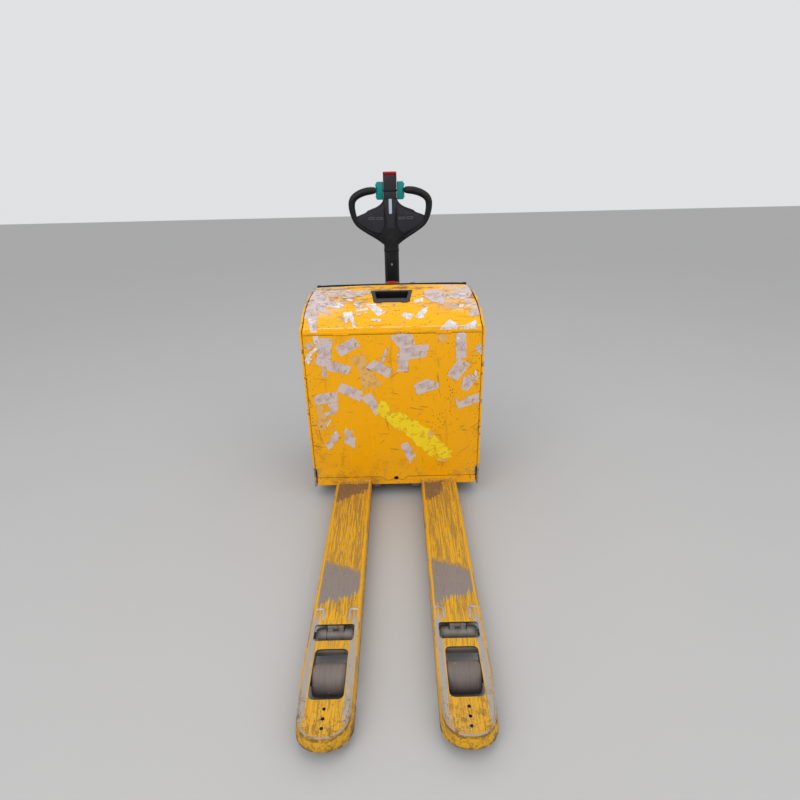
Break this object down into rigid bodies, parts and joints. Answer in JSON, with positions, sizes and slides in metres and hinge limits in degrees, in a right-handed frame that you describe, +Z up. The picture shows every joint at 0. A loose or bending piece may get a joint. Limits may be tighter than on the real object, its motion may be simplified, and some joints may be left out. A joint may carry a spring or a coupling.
{
  "type": "electric pallet truck",
  "caption": "Pedestrian electric pallet truck: low forks with load rollers, tall battery box with hinged lid, steered drive wheel and upright tiller with butterfly control head.",
  "frame": {"origin": "middle of the footprint on the floor, forks lowered, tiller upright", "axes": "+Z up, +Y towards the tiller and drive unit, forks point along -Y, +X to the right seen from the fork tips"},
  "size_m": [0.72, 1.7, 1.322],
  "materials": {
    "yellow_paint": "worn gloss",
    "black_plastic": "textured",
    "handle_plastic": "soft satin",
    "dark_steel": "satin",
    "machined_steel": "worn",
    "chrome_rod": "polished",
    "cylinder_paint": "satin",
    "casting": "cast",
    "tank_plastic": "milky",
    "hose_rubber": "matt",
    "cable_rubber": "matt",
    "battery_plastic": "satin",
    "controller_metal": "cast",
    "roller_tyre": "worn",
    "drive_rubber": "worn",
    "teal_plastic": "satin",
    "red_plastic": "satin",
    "yellow_plastic": "satin",
    "grey_plastic": "satin"
  },
  "bodies": {
    "chassis": {"chassis_frame": "dark_steel", "skirt_cover": "black_plastic", "hood_tower": "black_plastic", "hood_screws": "machined_steel", "console_panel": "black_plastic", "estop_collar": "yellow_plastic", "hydraulic_tank": "tank_plastic", "hydraulic_pump": "cylinder_paint", "hydraulic_hose": "hose_rubber", "lift_cylinder": "cylinder_paint", "motor_controller": "controller_metal", "slewing_ring": "machined_steel"},
    "load_frame": {"fork_left": "yellow_paint", "fork_right": "yellow_paint", "heel_beam": "yellow_paint", "front_panel": "yellow_paint", "side_plate_left": "yellow_paint", "side_plate_right": "yellow_paint", "back_wall": "yellow_paint", "battery_tray": "black_plastic", "battery_case": "battery_plastic", "battery_cables": "cable_rubber", "lift_bracket": "machined_steel", "lift_piston_rod": "chrome_rod", "lid_hinge_lower": "machined_steel", "arm_pivot_pins": "machined_steel"},
    "lid": {"lid_shell": "yellow_paint", "lid_grip_cup": "black_plastic", "lid_hinge_upper": "machined_steel"},
    "drive_unit": {"gearbox": "casting", "drive_motor": "cylinder_paint", "motor_cover": "black_plastic", "tiller_yoke": "dark_steel", "tiller_pivot_pin": "machined_steel"},
    "drive_wheel": {"drive_hub": "casting", "drive_tyre": "drive_rubber"},
    "tiller": {"tiller_arm": "dark_steel", "head_shell": "black_plastic", "handle_loop": "handle_plastic", "snout_housing": "black_plastic"},
    "thumb_switch": {"thumb_wheels": "teal_plastic"},
    "belly_button": {"reverse_button": "red_plastic"},
    "horn": {"horn_button": "yellow_plastic"},
    "lift_switch": {"lift_button": "grey_plastic"},
    "lower_switch": {"lower_button": "grey_plastic"},
    "emergency_stop": {"estop_knob": "red_plastic"},
    "key": {"ignition_key": "machined_steel"},
    "load_arm_left": {"wheel_arm_left": "machined_steel"},
    "load_wheel_left": {"load_roller_left": "roller_tyre"},
    "rod_left": {"push_rod_left": "machined_steel"},
    "heel_rocker_left": {"rocker_left": "machined_steel"},
    "caster_left": {"caster_fork_left": "machined_steel"},
    "caster_roll_left": {"caster_wheel_left": "drive_rubber"},
    "load_arm_right": {"wheel_arm_right": "machined_steel"},
    "load_wheel_right": {"load_roller_right": "roller_tyre"},
    "rod_right": {"push_rod_right": "machined_steel"},
    "heel_rocker_right": {"rocker_right": "machined_steel"},
    "caster_right": {"caster_fork_right": "machined_steel"},
    "caster_roll_right": {"caster_wheel_right": "drive_rubber"}
  },
  "joints": [
    {"name": "lift", "type": "slide", "parent": "chassis", "child": "load_frame", "axis": [0, 0, 1], "range_m": [0, 0.12]},
    {"name": "lid_hinge", "type": "hinge", "parent": "load_frame", "child": "lid", "pos_m": [0, 0.287, 0.7517], "axis": [1, 0, 0], "range_deg": [0, 95]},
    {"name": "steering", "type": "hinge", "parent": "chassis", "child": "drive_unit", "pos_m": [0, 0.71, 0.2], "axis": [0, 0, 1], "range_deg": [-90, 90]},
    {"name": "drive_wheel_spin", "type": "hinge", "parent": "drive_unit", "child": "drive_wheel", "pos_m": [0, 0.71, 0.115], "axis": [1, 0, 0], "continuous": true},
    {"name": "tiller_tilt", "type": "hinge", "parent": "drive_unit", "child": "tiller", "pos_m": [0, 0.81, 0.42], "axis": [-1, 0, 0], "range_deg": [0, 78], "stiffness_Nm_per_rad": 12, "springref_deg": -20.05},
    {"name": "thumb_wheel_turn", "type": "hinge", "parent": "tiller", "child": "thumb_switch", "pos_m": [0, 0.81, 1.2455], "axis": [1, 0, 0], "range_deg": [-35, 35], "stiffness_Nm_per_rad": 0.5},
    {"name": "belly_button_press", "type": "slide", "parent": "tiller", "child": "belly_button", "axis": [0, 0, -1], "range_m": [0, 0.005], "stiffness_N_per_m": 800, "springref_m": -0.003},
    {"name": "horn_press", "type": "slide", "parent": "tiller", "child": "horn", "axis": [0, -1, 0], "range_m": [0, 0.002], "stiffness_N_per_m": 600, "springref_m": -0.001},
    {"name": "lift_press", "type": "slide", "parent": "tiller", "child": "lift_switch", "axis": [0, -1, 0], "range_m": [0, 0.002], "stiffness_N_per_m": 600, "springref_m": -0.001},
    {"name": "lower_press", "type": "slide", "parent": "tiller", "child": "lower_switch", "axis": [0, -1, 0], "range_m": [0, 0.002], "stiffness_N_per_m": 600, "springref_m": -0.001},
    {"name": "emergency_stop_press", "type": "slide", "parent": "chassis", "child": "emergency_stop", "axis": [0, 0, -1], "range_m": [0, 0.004]},
    {"name": "key_turn", "type": "hinge", "parent": "chassis", "child": "key", "pos_m": [0.09, 0.615, 0.86], "axis": [0, 0, 1], "range_deg": [0, 90]},
    {"name": "load_arm_left_swing", "type": "hinge", "parent": "load_frame", "child": "load_arm_left", "pos_m": [-0.185, -0.5, 0.04], "axis": [1, 0, 0], "range_deg": [0, 50.8]},
    {"name": "load_roller_left_spin", "type": "hinge", "parent": "load_arm_left", "child": "load_wheel_left", "pos_m": [-0.185, -0.654, 0.042], "axis": [1, 0, 0], "continuous": true},
    {"name": "push_rod_left_swing", "type": "hinge", "parent": "load_arm_left", "child": "rod_left", "pos_m": [-0.185, -0.4882, 0.0648], "axis": [1, 0, 0], "range_deg": [-50.8, 0]},
    {"name": "rocker_left_swing", "type": "hinge", "parent": "load_frame", "child": "heel_rocker_left", "pos_m": [-0.185, 0.48, 0.04], "axis": [1, 0, 0], "range_deg": [0, 50.8]},
    {"name": "caster_left_swivel", "type": "hinge", "parent": "chassis", "child": "caster_left", "pos_m": [-0.272, 0.71, 0.1], "axis": [0, 0, 1], "continuous": true},
    {"name": "caster_left_spin", "type": "hinge", "parent": "caster_left", "child": "caster_roll_left", "pos_m": [-0.272, 0.732, 0.045], "axis": [1, 0, 0], "continuous": true},
    {"name": "load_arm_right_swing", "type": "hinge", "parent": "load_frame", "child": "load_arm_right", "pos_m": [0.185, -0.5, 0.04], "axis": [1, 0, 0], "range_deg": [0, 50.8]},
    {"name": "load_roller_right_spin", "type": "hinge", "parent": "load_arm_right", "child": "load_wheel_right", "pos_m": [0.185, -0.654, 0.042], "axis": [1, 0, 0], "continuous": true},
    {"name": "push_rod_right_swing", "type": "hinge", "parent": "load_arm_right", "child": "rod_right", "pos_m": [0.185, -0.4882, 0.0648], "axis": [1, 0, 0], "range_deg": [-50.8, 0]},
    {"name": "rocker_right_swing", "type": "hinge", "parent": "load_frame", "child": "heel_rocker_right", "pos_m": [0.185, 0.48, 0.04], "axis": [1, 0, 0], "range_deg": [0, 50.8]},
    {"name": "caster_right_swivel", "type": "hinge", "parent": "chassis", "child": "caster_right", "pos_m": [0.272, 0.71, 0.1], "axis": [0, 0, 1], "continuous": true},
    {"name": "caster_right_spin", "type": "hinge", "parent": "caster_right", "child": "caster_roll_right", "pos_m": [0.272, 0.732, 0.045], "axis": [1, 0, 0], "continuous": true}
  ],
  "couplings": [
    {"joint": "load_arm_left_swing", "follows": "lift", "rad_per_m": 7.3823},
    {"joint": "push_rod_left_swing", "follows": "lift", "rad_per_m": -7.3823},
    {"joint": "rocker_left_swing", "follows": "lift", "rad_per_m": 7.3823},
    {"joint": "load_arm_right_swing", "follows": "lift", "rad_per_m": 7.3823},
    {"joint": "push_rod_right_swing", "follows": "lift", "rad_per_m": -7.3823},
    {"joint": "rocker_right_swing", "follows": "lift", "rad_per_m": 7.3823}
  ]
}
